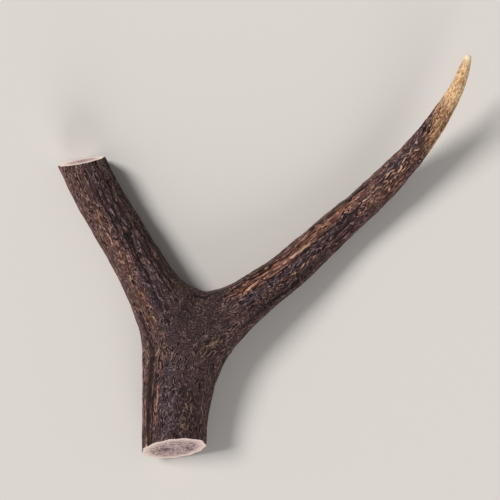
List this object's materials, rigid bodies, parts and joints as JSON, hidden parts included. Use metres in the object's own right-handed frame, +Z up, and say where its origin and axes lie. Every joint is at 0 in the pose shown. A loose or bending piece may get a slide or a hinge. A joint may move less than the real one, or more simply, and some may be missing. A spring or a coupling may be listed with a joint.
{
  "type": "deer antler",
  "caption": "Forked length of deer antler lying on its side, its ridged beam sawn flat at both ends, with one long tine curving up to a smooth pale tip.",
  "frame": {"origin": "on the surface that the antler lies on, under the middle of its box", "axes": "+Z up from the surface, which is the antler's thinnest way; the beam grows towards +Y from the larger sawn end, and the tine sweeps out towards +X and +Y"},
  "size_m": [0.2364, 0.2338, 0.0446],
  "materials": {
    "antler": "natural antler, dark brown bark with a satin sheen, tan ridges and an ivory tip"
  },
  "bodies": {
    "root": {"beam": "antler", "tine": "antler"}
  },
  "joints": []
}
